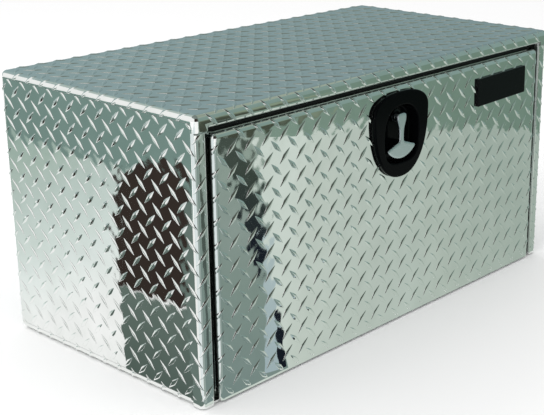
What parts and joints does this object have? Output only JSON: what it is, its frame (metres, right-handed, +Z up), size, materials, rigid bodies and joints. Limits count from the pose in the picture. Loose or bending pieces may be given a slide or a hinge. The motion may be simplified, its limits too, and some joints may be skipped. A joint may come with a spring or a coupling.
{
  "type": "underbody truck tool box",
  "caption": "Weather-sealed tread-plate tool box for the underside of a truck bed, with a drop-down front door and a folding T-handle latch in a recessed dish.",
  "frame": {"origin": "centre of the bounding box's underside, on the surface the box rests on", "axes": "+X along the box's width to the right as seen from the door, +Y from the door to the back, +Z up"},
  "size_m": [0.914, 0.483, 0.457],
  "materials": {
    "tread_aluminium": "bright diamond tread plate",
    "plain_aluminium": "mill finish sheet",
    "weld_metal": "bright weld bead",
    "zinc_steel": "zinc plated",
    "satin_handle": "satin",
    "black_rubber": "matte",
    "gloss_black": "glossy",
    "plate_black": "semi gloss"
  },
  "bodies": {
    "box": {"top_panel": "tread_aluminium", "left_side": "tread_aluminium", "right_side": "tread_aluminium", "floor_panel": "tread_aluminium", "back_panel": "tread_aluminium", "sill_flange": "plain_aluminium", "left_weld": "weld_metal", "right_weld": "weld_metal", "door_seal": "black_rubber", "hinge_body_leaf": "zinc_steel"},
    "door": {"door_pan": "tread_aluminium", "door_liner": "plain_aluminium", "latch_dish": "gloss_black", "dish_gasket": "black_rubber", "bare_plate": "plate_black", "hinge_door_leaf": "zinc_steel", "hinge_pin": "zinc_steel", "latch_bush": "zinc_steel"},
    "latch": {"latch_shaft": "zinc_steel", "pivot_pin": "zinc_steel", "latch_cam": "zinc_steel", "latch_nut": "zinc_steel"},
    "handle": {"t_handle": "satin_handle"}
  },
  "joints": [
    {"name": "door_swing", "type": "hinge", "parent": "box", "child": "door", "pos_m": [0, -0.22785, 0.00235], "axis": [1, 0, 0], "range_deg": [0, 90]},
    {"name": "latch_turn", "type": "hinge", "parent": "door", "child": "latch", "pos_m": [0, -0.2345, 0.372], "axis": [0, 1, 0], "range_deg": [0, 90]},
    {"name": "handle_fold", "type": "hinge", "parent": "latch", "child": "handle", "pos_m": [0, -0.2345, 0.372], "axis": [-1, 0, 0], "range_deg": [0, 90]}
  ],
  "couplings": [
    {"joint": "handle_fold", "follows": "latch_turn", "ratio": 1}
  ]
}
